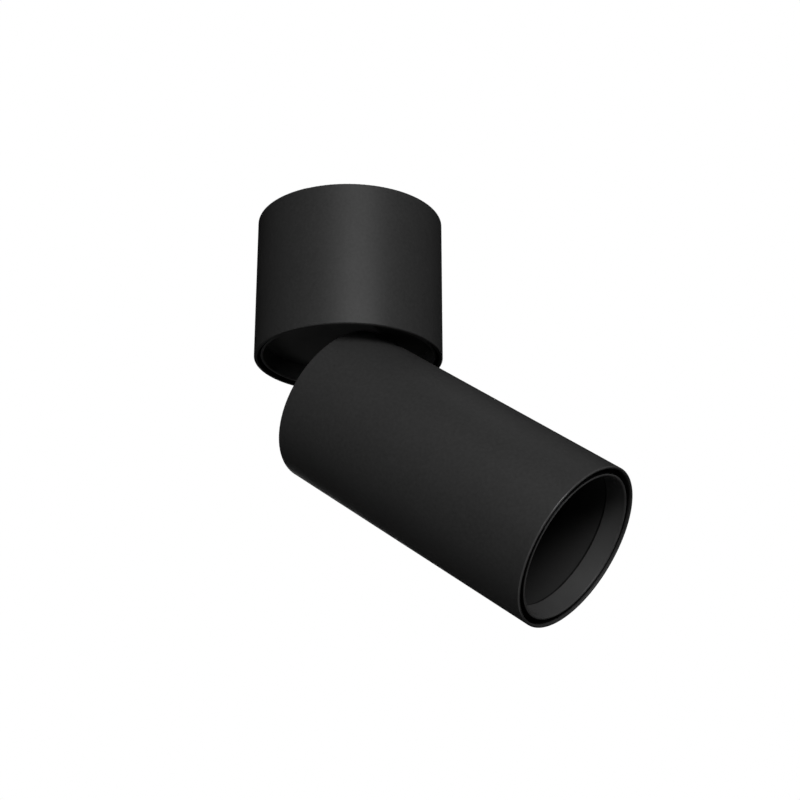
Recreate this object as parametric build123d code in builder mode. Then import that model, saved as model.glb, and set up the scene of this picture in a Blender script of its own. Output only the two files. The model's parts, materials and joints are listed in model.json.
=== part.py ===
"""Ceiling spotlight: a round base, a turntable in the base's foot and a tilting lamp head under it.

Millimetres, +Z up. The origin is the middle of the base's ceiling face, and the head tilts towards +X.
The head's own pieces are placed by their station: the distance in front of the tilt pivot, along the head.
"""
import os
from math import asin, cos, degrees, radians, sin, sqrt

from build123d import *

os.makedirs("parts", exist_ok=True)

# Clearances
fit_gap = 0.3  # round faces that pass each other
running_gap = 0.05  # a shaft in the hole that it turns in
seat_gap = 0.1  # a fixed piece in its seat

# Base
base_radius = 35.0
base_height = 55.0
base_wall = 1.35
edge_round = 0.4
inner_edge_round = 0.25
base_ledge_width = 6.0
base_ledge_thickness = 3.0

# Ceiling bracket, cable inlet and lock
bar_width = 24.0
bar_thickness = 1.5
slot_spacing = 38.0
slot_length = 12.0
slot_width = 4.5
inlet_hole_radius = 7.0
inlet_bore = 4.0
inlet_flange_width = 2.0
inlet_flange_thickness = 2.0
ear_drop = 14.0
hook_lug_depth = 2.2
hook_lug_thickness = 2.0
hook_lug_drop = 7.0  # from the ceiling to the lug's top
hook_lug_sweep = 24.0
hook_toe_sweep = 28.0
lock_screw_radius = 2.0
lock_screw_length = 8.0
lock_screw_drop = 9.0
earth_screw_radius = 2.0
earth_head_radius = 3.5
earth_head_height = 2.4
earth_edge = 0.1  # from the bar's edge to the washer
earth_washer_radius = 3.9
earth_washer_thickness = 0.8

# Turntable and swivel
pan_gap = 0.95  # open ring between the base's wall and the cup
cup_wall = 1.2
cup_plate = 2.5
cup_corner_round = 1.0
lip_setback = 0.9  # the cup's lip lies this far inside the base's foot
recess_depth = 8.0
slip_ring_thickness = 1.0
slip_ring_radius = 16.0
bearing_plate_thickness = 2.5
plate_screw_radius = 1.5
plate_screw_head = 2.6
plate_screw_head_height = 1.8
plate_screw_edge = 0.4  # from the base's wall to the screw's head
plate_screw_count = 3
stem_wall = 1.4
stem_collar_width = 1.5
stem_collar_thickness = 1.0
stem_end = 3.0  # thread left above the nut
bush_wall = 1.5
bush_flange_width = 2.0
bush_flange_thickness = 1.0
stop_radius = 10.5
stop_pin_radius = 1.25
stop_washer_wall = 3.0
stop_washer_thickness = 1.5
stop_tab_width = 2.7
stop_key_width = 1.6
stop_key_depth = 0.6
spring_washer_wall = 2.7
spring_washer_thickness = 0.5
spring_washer_height = 1.0
nut_across_flats = 12.0
nut_thickness = 4.0
nut_chamfer = 0.5

# Fork and tilt pivots
tilt = 54.4  # modelled pose, from straight down
tilt_spare = 0.6  # from the modelled pose up to the stop
recess_air = 0.56  # from the head's rear corner to the recess at that stop
fork_drop = 3.0  # neck between the recess and the fork
fork_crotch = 4.0  # solid part of the fork above its slot
fork_cheek = 2.0
fork_half_width = 5.0
pivot_radius = 1.5
pivot_head_radius = 2.7
pivot_head_height = 2.0
friction_washer_thickness = 0.8
pivot_spring_rim = 0.1  # past the screw's head
pivot_spring_thickness = 0.8
lug_inset = 0.5  # from the fork's edge to the lug's edge
lug_thickness = 3.0

# Lamp head
lamp_room = 3.0  # from the lamp's rim to the head's wall
head_wall = 2.0
mouth_wall = 1.0
rim_round = 0.45
head_ledge_width = 4.5
head_ledge_thickness = 3.0
cap_thickness = 2.0
cap_gap = 0.25
cap_slot_gap = 0.5
cap_slot_round = 0.8
cap_screw_radius = 1.25
cap_screw_head = 2.3
cap_screw_edge = 0.25  # from the cap's edge to the screw's head
cap_screw_count = 3
cap_screw_start = 60.0  # first screw's turn from the head's top

# Lamp and its holder
lamp_setback = 36.0  # from the head's front to the lamp's face
lamp_radius = 25.0
lamp_rim_length = 6.5
lamp_rim_width = 1.5
lamp_shoulder = 2.0  # slope behind the rim
lamp_flare_length = 24.0
lamp_neck_length = 10.0
lamp_neck_radius = 12.5
lamp_lens_thickness = 1.5
pin_spacing = 10.0
pin_length = 7.0
pin_stem_radius = 1.5
pin_head_radius = 2.5
pin_head_length = 2.4
holder_radius = 13.5
holder_height = 17.5
holder_round = 1.0
pocket_gap = 0.4
pocket_turn = 30.0
contact_thickness = 0.8
holder_screw_radius = 1.5
holder_screw_head = 2.6
holder_screw_head_height = 1.8
holder_screw_place = 9.5
holder_screw_depth = 5.0
bracket_thickness = 1.5
bracket_air = 1.0  # from the bracket's feet to the head's ledge
bracket_leg_length = 12.5
bracket_half_width = 12.0
bracket_leg_half_width = 6.0
bracket_foot_length = 3.0
bracket_foot_half_width = 5.0
bracket_hole_radius = 4.0

# Front ring
ring_setback = 0.36
ring_lip = 1.05
ring_taper = 0.36
ring_depth = 8.0  # from the head's front to the ring's inner end
ring_skirt = 4.5
mouth_gap = 1.85  # open ring between the head's wall and the lip
mouth_gap_depth = 3.8
seal_section = 1.5
seal_inset = 2.2  # from the ring's inner end to the seal's middle
seal_side_gap = 0.1
baffle_wall = 0.9
baffle_lip_width = 3.6
baffle_lip_thickness = 1.0
lamp_air = 1.5  # from the lamp's face to the baffle

# Terminals and inner wiring
block_inner_face = 12.5  # from the base's axis
block_depth = 12.0
block_height = 13.0
block_round = 0.6
pole_pitch = 9.0
pole_count = 3
pole_height = 5.0
tube_outer = 2.6
tube_bore = 1.6
clamp_screw_radius = 1.2
clamp_screw_length = 4.0
clamp_screw_spacing = 6.0
clamp_well_radius = 2.0
standoff_across_flats = 5.0
standoff_stud_radius = 1.25
block_screw_head = 2.2
block_screw_head_height = 1.5
block_screw_grip = 6.0
core_radius = 0.9
core_bend = 5.0
core_spread = 1.25
core_straight = 4.5
core_end = 1.5  # straight stretch above the sleeve
sleeve_radius = 2.2
sleeve_air = 0.4  # between the sleeve and the stem's bore
sleeve_stand = 4.0  # sleeve above the stem
flex_reach = 7.0  # from the pivot to each end of the bending stretch
sleeve_seat = 4.0  # the sleeve's end in the lampholder
key_share = 0.45  # drive recess across its corners, of the screw head
key_depth = 1.0
lip_round_share = 0.45  # of a lip's thickness

# The lamp head's outside, the head's tilt and the bore for the wires
head_radius = lamp_radius + lamp_room + head_wall
lamp_length = lamp_rim_length + lamp_shoulder + lamp_flare_length + lamp_neck_length
lamp_stack = bracket_leg_length + bracket_thickness + holder_height + lamp_length
head_length = cap_thickness + lamp_stack + lamp_setback
rear_reach = cap_thickness + pivot_head_radius + fit_gap  # from the pivot back to the rear face
tilt_angle = radians(tilt)
limit_angle = radians(tilt + tilt_spare)
corner_reach = rear_reach * cos(limit_angle) + head_radius * sin(limit_angle)
stem_bore = sleeve_radius + sleeve_air
stem_radius = stem_bore + stem_wall

# Heights in the base, from its foot up
foot_z = -base_height
lip_z = foot_z + lip_setback
recess_z = foot_z + recess_depth
cup_top = recess_z + cup_plate
plate_z = cup_top + slip_ring_thickness
ledge_z = plate_z + bearing_plate_thickness
ledge_top = ledge_z + base_ledge_thickness
bush_top = ledge_z + bush_flange_thickness
stop_top = bush_top + stop_washer_thickness
spring_top = stop_top + spring_washer_height
nut_top = spring_top + nut_thickness
stem_top = nut_top + stem_end
sleeve_top = stem_top + sleeve_stand
collar_top = recess_z + stem_collar_thickness
fork_z = recess_z - fork_drop
pivot_z = recess_z - corner_reach - recess_air
crotch_z = fork_z - fork_crotch
fork_foot_z = pivot_z - fork_half_width
pole_z = sleeve_top + core_end + core_bend
block_z = pole_z - pole_height
block_top = block_z + block_height

# Radii in the base
base_bore = base_radius - base_wall
base_ledge_bore = base_bore - base_ledge_width
plate_radius = base_bore - fit_gap
plate_screw_place = base_bore - plate_screw_head - plate_screw_edge
cup_radius = base_bore - pan_gap
cup_bore = cup_radius - cup_wall
bush_bore = stem_radius + running_gap
bush_radius = bush_bore + bush_wall
stem_hole = stem_radius + seat_gap
collar_radius = stem_radius + stem_collar_width
ear_radius = base_bore - fit_gap
hook_radius = base_bore - hook_lug_depth - fit_gap
block_middle = block_inner_face + block_depth / 2

# The earth screw lies at the bar's edge, clear of the inlet's flange
earth_x = bar_width / 2 - earth_washer_radius - earth_edge
earth_distance = inlet_hole_radius + inlet_flange_width + earth_washer_radius + fit_gap
earth_place = (earth_x, sqrt(earth_distance**2 - earth_x**2))

# Places across the tilt axis
fork_outer = stem_bore + fork_cheek
lug_inner = fork_outer + friction_washer_thickness
lug_outer = lug_inner + lug_thickness
pivot_seat = lug_outer + pivot_spring_thickness
lug_radius = fork_half_width - lug_inset
sides = (-1, 1)

# Stations along the head
rear = -rear_reach
front = rear + head_length
cap_front = rear + cap_thickness
head_ledge_front = cap_front + head_ledge_thickness
lamp_face = front - lamp_setback
lamp_back = lamp_face - lamp_length
holder_back = lamp_back - holder_height
bracket_back = holder_back - bracket_thickness
ring_inner_end = front - ring_depth
ring_back = ring_inner_end - ring_skirt
ring_front = front - ring_setback
land_front = front - mouth_gap_depth
seal_station = ring_inner_end + seal_inset
baffle_back = lamp_face + lamp_air

# Radii in the head
head_bore = head_radius - head_wall
mouth_bore = head_radius - mouth_wall
head_ledge_bore = head_bore - head_ledge_width
cap_radius = head_bore - cap_gap
cap_screw_place = cap_radius - cap_screw_head - cap_screw_edge
ring_land = mouth_bore - fit_gap
lip_outer = mouth_bore - mouth_gap
lip_inner = lip_outer - ring_lip
ring_bore = lip_inner - ring_taper
baffle_radius = ring_bore + baffle_wall + ring_taper
baffle_bore = baffle_radius - baffle_wall
seal_middle = mouth_bore - running_gap - seal_section / 2
bracket_half_span = head_ledge_bore - bracket_air - bracket_foot_length
foot_screw_place = bracket_half_span + bracket_foot_length / 2
lamp_flare_radius = lamp_radius - lamp_shoulder

# The fork's edge meets the rear face here when the head is tilted as far as it goes
edge_run = (rear_reach + fork_half_width * sin(limit_angle)) / cos(limit_angle)
cap_slot_high = edge_run * sin(limit_angle) + fork_half_width * cos(limit_angle) + cap_slot_gap
cap_slot_low = -fork_half_width - cap_slot_gap
cap_slot_half_width = lug_inner

# The head's axis and planes
pivot = Vector(0, 0, pivot_z)
head_forward = Vector(sin(tilt_angle), 0, -cos(tilt_angle))
head_up = Vector(cos(tilt_angle), 0, sin(tilt_angle))
head_axis = Axis(pivot, head_forward)
head_section = Plane(origin=pivot, x_dir=head_up, z_dir=(0, 1, 0))
head_rear = Plane(origin=pivot + head_forward * rear, x_dir=head_up, z_dir=head_forward * -1)


def head_cross(station):
    """Plane across the head at a station, facing the mouth."""
    return Plane(origin=pivot + head_forward * station, x_dir=head_up, z_dir=head_forward)


def radial_plane(angle):
    """Upright plane through the base's axis, with its first direction outwards at an angle."""
    turn = radians(angle)
    return Plane(origin=(0, 0, 0), x_dir=(cos(turn), sin(turn), 0), z_dir=(sin(turn), -cos(turn), 0))


def flat_ring(plane, outer, inner, thickness):
    """A flat ring that stands on a plane."""
    with BuildPart() as piece:
        with BuildSketch(plane):
            Circle(outer)
            Circle(inner, mode=Mode.SUBTRACT)
        extrude(amount=thickness)
    return piece


def straight_sleeve(plane, length):
    """A straight stretch of the wires' sleeve, from a plane onwards."""
    with BuildPart() as piece:
        with BuildSketch(plane):
            Circle(sleeve_radius)
        extrude(amount=length)
    return piece


def countersunk_screw(shank, head, length):
    """A countersunk screw, flush with the XY plane and pointing down."""
    with BuildPart() as screw:
        with BuildSketch(Plane.XZ):
            with BuildLine():
                Polyline((0, 0), (head, 0), (shank, shank - head), (shank, -length), (0, -length), close=True)
            make_face()
        revolve(axis=Axis.Z)
        with BuildSketch(Plane.XY):
            RegularPolygon(head * key_share, 6)
        extrude(amount=-key_depth, mode=Mode.SUBTRACT)
    return screw.part


def pan_screw(shank, head, head_height, length):
    """A round-headed screw whose head stands on the XY plane and whose shank points down."""
    with BuildPart() as screw:
        with BuildSketch(Plane.XY):
            Circle(head)
        extrude(amount=head_height)
        fillet(screw.edges().sort_by(Axis.Z)[-1], head_height / 2)
        with BuildSketch(Plane.XY):
            Circle(shank)
        extrude(amount=-length)
        with BuildSketch(Plane.XY.offset(head_height)):
            RegularPolygon(head * key_share, 6)
        extrude(amount=-key_depth, mode=Mode.SUBTRACT)
    return screw.part


# Base shell: a thin tube with an inner ledge, a hook lug at the front and a screw hole at the back
with BuildPart() as base_shell:
    with BuildSketch(Plane.XZ):
        with BuildLine():
            Polyline(
                (base_radius, 0),
                (base_radius, foot_z),
                (base_bore, foot_z),
                (base_bore, ledge_z),
                (base_ledge_bore, ledge_z),
                (base_ledge_bore, ledge_top),
                (base_bore, ledge_top),
                (base_bore, 0),
                close=True,
            )
        make_face()
    revolve(axis=Axis.Z)
    foot_rings = base_shell.edges().filter_by(GeomType.CIRCLE).group_by(Axis.Z)[0]
    fillet(foot_rings.sort_by(SortBy.RADIUS)[0], inner_edge_round)
    fillet(base_shell.edges().filter_by(GeomType.CIRCLE).group_by(SortBy.RADIUS)[-1], edge_round)
    lug_middle_radius = base_bore - hook_lug_depth / 2 + base_wall / 4
    with BuildSketch(radial_plane(270 - hook_lug_sweep / 2)):
        with Locations((lug_middle_radius, -hook_lug_drop - hook_lug_thickness / 2)):
            Rectangle(hook_lug_depth + base_wall / 2, hook_lug_thickness)
    revolve(axis=Axis.Z, revolution_arc=hook_lug_sweep)
    with BuildSketch(Plane.XZ.offset(-base_radius)):
        with Locations((0, -lock_screw_drop)):
            Circle(lock_screw_radius + seat_gap)
    extrude(amount=2 * base_wall, mode=Mode.SUBTRACT)
    with BuildSketch(Plane.XY.offset(ledge_z)):
        with PolarLocations(plate_screw_place, plate_screw_count):
            Circle(plate_screw_radius + seat_gap)
    extrude(amount=base_ledge_thickness, mode=Mode.SUBTRACT)

# Ceiling bracket: a slotted bar with a threaded ear at the back and a hooked ear at the front
with BuildPart() as ceiling_bracket:
    with BuildSketch(Plane.XY):
        Rectangle(bar_width, 2 * ear_radius)
        Circle(ear_radius, mode=Mode.INTERSECT)
        Circle(inlet_hole_radius, mode=Mode.SUBTRACT)
        with GridLocations(1, slot_spacing, 1, 2):
            SlotOverall(slot_length, slot_width, rotation=90, mode=Mode.SUBTRACT)
        with Locations(earth_place):
            Circle(earth_screw_radius + seat_gap, mode=Mode.SUBTRACT)
    extrude(amount=-bar_thickness)
    ear_sweep = 2 * degrees(asin(bar_width / 2 / ear_radius))
    with BuildSketch(radial_plane(90 - ear_sweep / 2)):
        with Locations((ear_radius - bar_thickness / 2, -ear_drop / 2)):
            Rectangle(bar_thickness, ear_drop)
    revolve(axis=Axis.Z, revolution_arc=ear_sweep)
    with BuildSketch(Plane.XZ.offset(-base_radius)):
        with Locations((0, -lock_screw_drop)):
            Circle(lock_screw_radius + running_gap)
    extrude(amount=lock_screw_length, mode=Mode.SUBTRACT)
    toe_z = -hook_lug_drop - hook_lug_thickness
    with BuildSketch(radial_plane(270 - hook_toe_sweep / 2)):
        with BuildLine():
            Polyline(
                (hook_radius - bar_thickness, 0),
                (hook_radius, 0),
                (hook_radius, toe_z),
                (ear_radius, toe_z),
                (ear_radius, toe_z - bar_thickness),
                (hook_radius - bar_thickness, toe_z - bar_thickness),
                close=True,
            )
        make_face()
    revolve(axis=Axis.Z, revolution_arc=hook_toe_sweep)

# Cable inlet: a rubber bush in the middle of the bracket
with BuildPart() as cable_grommet:
    with BuildSketch(Plane.XY):
        Circle(inlet_hole_radius - seat_gap)
    extrude(amount=-bar_thickness)
    with BuildSketch(Plane.XY.offset(-bar_thickness)):
        Circle(inlet_hole_radius + inlet_flange_width)
    extrude(amount=-inlet_flange_thickness)
    fillet(cable_grommet.edges().sort_by(Axis.Z)[0], inlet_flange_thickness / 2)
    with BuildSketch(Plane.XY):
        Circle(inlet_bore)
    extrude(amount=-bar_thickness - inlet_flange_thickness, mode=Mode.SUBTRACT)

# Earth screw and its washer, under the bracket
earth_face = Plane(origin=(*earth_place, -bar_thickness), z_dir=(0, 0, -1))
earth_washer = flat_ring(
    earth_face, earth_washer_radius, earth_screw_radius + seat_gap, earth_washer_thickness
)
earth_screw_solid = pan_screw(
    earth_screw_radius, earth_head_radius, earth_head_height, bar_thickness + earth_washer_thickness
)
with BuildPart(earth_face.offset(earth_washer_thickness)) as earth_screw:
    add(earth_screw_solid)

# Locking screw: a set screw through the base's back wall and the bracket's ear
with BuildPart() as locking_screw:
    with BuildSketch(Plane.XZ.offset(-base_radius + running_gap)):
        with Locations((0, -lock_screw_drop)):
            Circle(lock_screw_radius)
    extrude(amount=lock_screw_length)
    with BuildSketch(Plane.XZ.offset(-base_radius)):
        with Locations((0, -lock_screw_drop)):
            RegularPolygon(lock_screw_radius * key_share, 6)
    extrude(amount=2 * key_depth, mode=Mode.SUBTRACT)

# Bearing plate: a disc under the ledge that carries the turntable and the terminals
standoff_places = [(block_middle, side * pole_pitch / 2) for side in sides]
with BuildPart() as bearing_plate:
    with BuildSketch(Plane.XY.offset(plate_z)):
        Circle(plate_radius)
        Circle(bush_radius + seat_gap, mode=Mode.SUBTRACT)
        with PolarLocations(plate_screw_place, plate_screw_count):
            Circle(plate_screw_radius + running_gap, mode=Mode.SUBTRACT)
        with Locations((-stop_radius, 0)):
            Circle(stop_pin_radius + running_gap, mode=Mode.SUBTRACT)
        with Locations(*standoff_places):
            Circle(standoff_stud_radius + running_gap, mode=Mode.SUBTRACT)
    extrude(amount=bearing_plate_thickness)

plate_screw = pan_screw(
    plate_screw_radius,
    plate_screw_head,
    plate_screw_head_height,
    base_ledge_thickness + bearing_plate_thickness,
)
with BuildPart(Plane.XY.offset(ledge_top)) as plate_screws:
    with PolarLocations(plate_screw_place, plate_screw_count):
        add(plate_screw)

# Swivel bearing: a flanged bush in the plate and a slide ring under it
with BuildPart() as pan_bush:
    with BuildSketch(Plane.XY.offset(plate_z)):
        Circle(bush_radius)
    extrude(amount=bearing_plate_thickness)
    with BuildSketch(Plane.XY.offset(ledge_z)):
        Circle(bush_radius + bush_flange_width)
    extrude(amount=bush_flange_thickness)
    with BuildSketch(Plane.XY.offset(plate_z)):
        Circle(bush_bore)
    extrude(amount=bush_top - plate_z, mode=Mode.SUBTRACT)

slip_ring = flat_ring(
    Plane.XY.offset(cup_top), slip_ring_radius, bush_radius + fit_gap, slip_ring_thickness
)

# Swivel stop: a pin in the plate, which the stop washer's tab meets at both ends of the turn
with BuildPart() as stop_pin:
    with BuildSketch(Plane.XY.offset(plate_z)):
        with Locations((-stop_radius, 0)):
            Circle(stop_pin_radius)
    extrude(amount=stop_top - plate_z)

with BuildPart() as stop_washer:
    with BuildSketch(Plane.XY.offset(bush_top)):
        Circle(stem_hole + stop_washer_wall)
        with Locations(((stop_radius + stop_pin_radius) / 2, 0)):
            Rectangle(stop_radius + stop_pin_radius, stop_tab_width)
        Circle(stem_hole, mode=Mode.SUBTRACT)
        with Locations((stem_radius, 0)):
            Rectangle(2 * stop_key_depth - 2 * seat_gap, stop_key_width - 2 * seat_gap)
    extrude(amount=stop_washer_thickness)

# Turntable cup: a plate seated on the stem's collar, and a wall with a rounded lip around the recess
with BuildPart() as turntable_cup:
    with BuildSketch(Plane.XZ):
        with BuildLine():
            Polyline(
                (collar_radius + seat_gap, recess_z),
                (cup_bore, recess_z),
                (cup_bore, lip_z),
                (cup_radius, lip_z),
                (cup_radius, cup_top),
                (stem_hole, cup_top),
                (stem_hole, collar_top),
                (collar_radius + seat_gap, collar_top),
                close=True,
            )
        make_face()
    revolve(axis=Axis.Z)
    lip_rings = turntable_cup.edges().filter_by(GeomType.CIRCLE).sort_by(Axis.Z)[:2]
    fillet(lip_rings, lip_round_share * cup_wall)
    top_rings = turntable_cup.edges().filter_by(GeomType.CIRCLE).group_by(Axis.Z)[-1]
    fillet(top_rings.sort_by(SortBy.RADIUS)[-1], cup_corner_round)

# Hollow stem: the swivel's axle, with a collar under the cup, a key groove and a fork for the head
with BuildPart() as tilt_stem:
    with BuildSketch(Plane.XY.offset(fork_z)):
        Circle(stem_radius)
    extrude(amount=stem_top - fork_z)
    with BuildSketch(Plane.XY.offset(recess_z)):
        Circle(collar_radius)
    extrude(amount=stem_collar_thickness)
    with BuildSketch(Plane.XZ.offset(-fork_outer)):
        with Locations((0, (fork_z + pivot_z) / 2)):
            Rectangle(2 * fork_half_width, fork_z - pivot_z)
        with Locations((0, pivot_z)):
            Circle(fork_half_width)
    extrude(amount=2 * fork_outer)
    with BuildSketch(Plane.XZ.offset(-stem_bore)):
        with Locations((0, (crotch_z + fork_foot_z) / 2)):
            Rectangle(2 * fork_half_width, crotch_z - fork_foot_z)
    extrude(amount=2 * stem_bore, mode=Mode.SUBTRACT)
    with BuildSketch(Plane.XY.offset(crotch_z)):
        Circle(stem_bore)
    extrude(amount=stem_top - crotch_z, mode=Mode.SUBTRACT)
    with BuildSketch(Plane.XZ.offset(-fork_outer)):
        with Locations((0, pivot_z)):
            Circle(pivot_radius + running_gap)
    extrude(amount=2 * fork_outer, mode=Mode.SUBTRACT)
    with BuildSketch(Plane.XY.offset(bush_top)):
        with Locations((stem_radius, 0)):
            Rectangle(2 * stop_key_depth, stop_key_width)
    extrude(amount=stem_top - bush_top, mode=Mode.SUBTRACT)

# Spring washer and nut on the stem, which set the swivel's friction
with BuildPart() as spring_washer:
    with BuildSketch(Plane.XZ):
        with BuildLine():
            Polyline(
                (stem_hole + spring_washer_wall, stop_top),
                (stem_hole + spring_washer_wall, stop_top + spring_washer_thickness),
                (stem_hole, spring_top),
                (stem_hole, spring_top - spring_washer_thickness),
                close=True,
            )
        make_face()
    revolve(axis=Axis.Z)

with BuildPart() as lock_nut:
    with BuildSketch(Plane.XY.offset(spring_top)):
        RegularPolygon(nut_across_flats / 2, 6, major_radius=False)
    extrude(amount=nut_thickness)
    chamfer(lock_nut.faces().sort_by(Axis.Z)[-1].edges(), nut_chamfer)
    with BuildSketch(Plane.XY.offset(spring_top)):
        Circle(stem_radius + running_gap)
    extrude(amount=nut_thickness, mode=Mode.SUBTRACT)

# Head tube: a straight tube with a ledge for the rear cap and a wider bore at the mouth
with BuildPart() as head_tube:
    with BuildSketch(head_section):
        with BuildLine():
            Polyline(
                (head_radius, rear),
                (head_radius, front),
                (mouth_bore, front),
                (mouth_bore, ring_back),
                (head_bore, ring_back),
                (head_bore, head_ledge_front),
                (head_ledge_bore, head_ledge_front),
                (head_ledge_bore, cap_front),
                (head_bore, cap_front),
                (head_bore, rear),
                close=True,
            )
        make_face()
    revolve(axis=head_axis)
    fillet(head_tube.edges().filter_by(GeomType.CIRCLE).sort_by(head_axis)[-2:], rim_round)
    rear_rings = head_tube.edges().filter_by(GeomType.CIRCLE).sort_by(head_axis)[:2]
    fillet(rear_rings.sort_by(SortBy.RADIUS)[0], inner_edge_round)
    rear_rings = head_tube.edges().filter_by(GeomType.CIRCLE).sort_by(head_axis)[:2]
    fillet(rear_rings.sort_by(SortBy.RADIUS)[-1], edge_round)
    with BuildSketch(head_rear):
        with PolarLocations(cap_screw_place, cap_screw_count, start_angle=cap_screw_start):
            Circle(cap_screw_radius + running_gap)
    extrude(amount=-cap_thickness - head_ledge_thickness, mode=Mode.SUBTRACT)

# Rear cap: a disc slotted for the fork, with a lug for each pivot
with BuildPart(head_rear) as rear_cap:
    with BuildSketch(head_rear):
        Circle(cap_radius)
        with Locations(((cap_slot_high + cap_slot_low) / 2, 0)):
            RectangleRounded(
                cap_slot_high - cap_slot_low, 2 * cap_slot_half_width, cap_slot_round, mode=Mode.SUBTRACT
            )
    extrude(amount=-cap_thickness)
    fillet(rear_cap.edges().filter_by(GeomType.CIRCLE).group_by(SortBy.RADIUS)[-1], inner_edge_round)
    for side in sides:
        with BuildSketch(head_section.offset(side * lug_inner)):
            with Locations((0, cap_front / 2)):
                Rectangle(2 * lug_radius, -cap_front)
            Circle(lug_radius)
            Circle(pivot_radius + running_gap, mode=Mode.SUBTRACT)
        extrude(amount=side * lug_thickness)
    with PolarLocations(cap_screw_place, cap_screw_count, start_angle=cap_screw_start):
        CounterSinkHole(cap_screw_radius + seat_gap, cap_screw_head + seat_gap)
    with GridLocations(1, 2 * foot_screw_place, 1, 2):
        CounterSinkHole(cap_screw_radius + seat_gap, cap_screw_head + seat_gap)

cap_screw_length = cap_thickness + head_ledge_thickness - seat_gap
cap_screw = countersunk_screw(cap_screw_radius, cap_screw_head, cap_screw_length)
with BuildPart(head_rear.offset(-seat_gap)) as cap_screws:
    with PolarLocations(cap_screw_place, cap_screw_count, start_angle=cap_screw_start):
        add(cap_screw)

# Tilt pivots: on each side a screw in the fork, a friction washer and a spring washer under its head
pivot_screw = pan_screw(pivot_radius, pivot_head_radius, pivot_head_height, pivot_seat - stem_bore)
pivot_faces = [Plane(origin=pivot + Vector(0, side * pivot_seat, 0), z_dir=(0, side, 0)) for side in sides]
with BuildPart(*pivot_faces) as pivot_screws:
    add(pivot_screw)

with BuildPart() as friction_washers:
    for side in sides:
        with BuildSketch(head_section.offset(side * fork_outer)):
            Circle(lug_radius)
            Circle(pivot_radius + running_gap, mode=Mode.SUBTRACT)
        extrude(amount=side * friction_washer_thickness)

with BuildPart() as pivot_springs:
    for side in sides:
        with BuildSketch(head_section.offset(side * lug_outer)):
            Circle(pivot_head_radius + pivot_spring_rim)
            Circle(pivot_radius + seat_gap, mode=Mode.SUBTRACT)
        extrude(amount=side * pivot_spring_thickness)

# Holder bracket: a bridge inside the head that carries the lampholder on the rear cap
with BuildPart() as holder_bracket:
    with BuildSketch(head_cross(bracket_back)):
        Rectangle(2 * bracket_half_width, 2 * bracket_half_span)
        Circle(bracket_hole_radius, mode=Mode.SUBTRACT)
        with GridLocations(2 * holder_screw_place, 1, 2, 1):
            Circle(holder_screw_radius + running_gap, mode=Mode.SUBTRACT)
    extrude(amount=bracket_thickness)
    for side in sides:
        leg_middle = side * (bracket_half_span - bracket_thickness / 2)
        with BuildSketch(head_cross(cap_front)):
            with Locations((0, leg_middle)):
                Rectangle(2 * bracket_leg_half_width, bracket_thickness)
        extrude(amount=bracket_back - cap_front)
        with BuildSketch(head_cross(cap_front)):
            with Locations((0, side * foot_screw_place)):
                Rectangle(2 * bracket_foot_half_width, bracket_foot_length)
                Circle(cap_screw_radius + running_gap, mode=Mode.SUBTRACT)
        extrude(amount=bracket_thickness)

bracket_screw_length = cap_thickness + bracket_thickness - seat_gap
bracket_screw = countersunk_screw(cap_screw_radius, cap_screw_head, bracket_screw_length)
with BuildPart(head_rear.offset(-seat_gap)) as bracket_screws:
    with GridLocations(1, 2 * foot_screw_place, 1, 2):
        add(bracket_screw)

# Lampholder: a ceramic block with two turning slots for the lamp's pins and a hole for the sleeve
pocket_width = 2 * (pin_head_radius + pocket_gap)
pocket_depth = pin_length + contact_thickness
pin_paths = [CenterArc((0, 0), pin_spacing / 2, start, -pocket_turn) for start in (90, 270)]
with BuildPart() as lampholder:
    with BuildSketch(head_cross(holder_back)):
        Circle(holder_radius)
    extrude(amount=holder_height)
    fillet(lampholder.edges().filter_by(GeomType.CIRCLE), holder_round)
    with BuildSketch(head_cross(lamp_back)):
        for pin_path in pin_paths:
            SlotArc(pin_path, pocket_width)
    extrude(amount=-pocket_depth, mode=Mode.SUBTRACT)
    with BuildSketch(head_cross(holder_back)):
        with GridLocations(2 * holder_screw_place, 1, 2, 1):
            Circle(holder_screw_radius + seat_gap)
    extrude(amount=holder_height, mode=Mode.SUBTRACT)
    with BuildSketch(head_cross(holder_back + holder_screw_depth)):
        with GridLocations(2 * holder_screw_place, 1, 2, 1):
            Circle(holder_screw_head + fit_gap)
    extrude(amount=holder_height, mode=Mode.SUBTRACT)
    with BuildSketch(head_cross(holder_back)):
        Circle(sleeve_radius + seat_gap)
    extrude(amount=sleeve_seat, mode=Mode.SUBTRACT)

with BuildPart() as holder_contacts:
    with BuildSketch(head_cross(lamp_back - pocket_depth)):
        with GridLocations(1, pin_spacing, 1, 2):
            Circle(pin_head_radius)
    extrude(amount=contact_thickness)

holder_screw = pan_screw(
    holder_screw_radius,
    holder_screw_head,
    holder_screw_head_height,
    holder_screw_depth + bracket_thickness,
)
with BuildPart(head_cross(holder_back + holder_screw_depth)) as holder_screws:
    with GridLocations(2 * holder_screw_place, 1, 2, 1):
        add(holder_screw)

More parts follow.
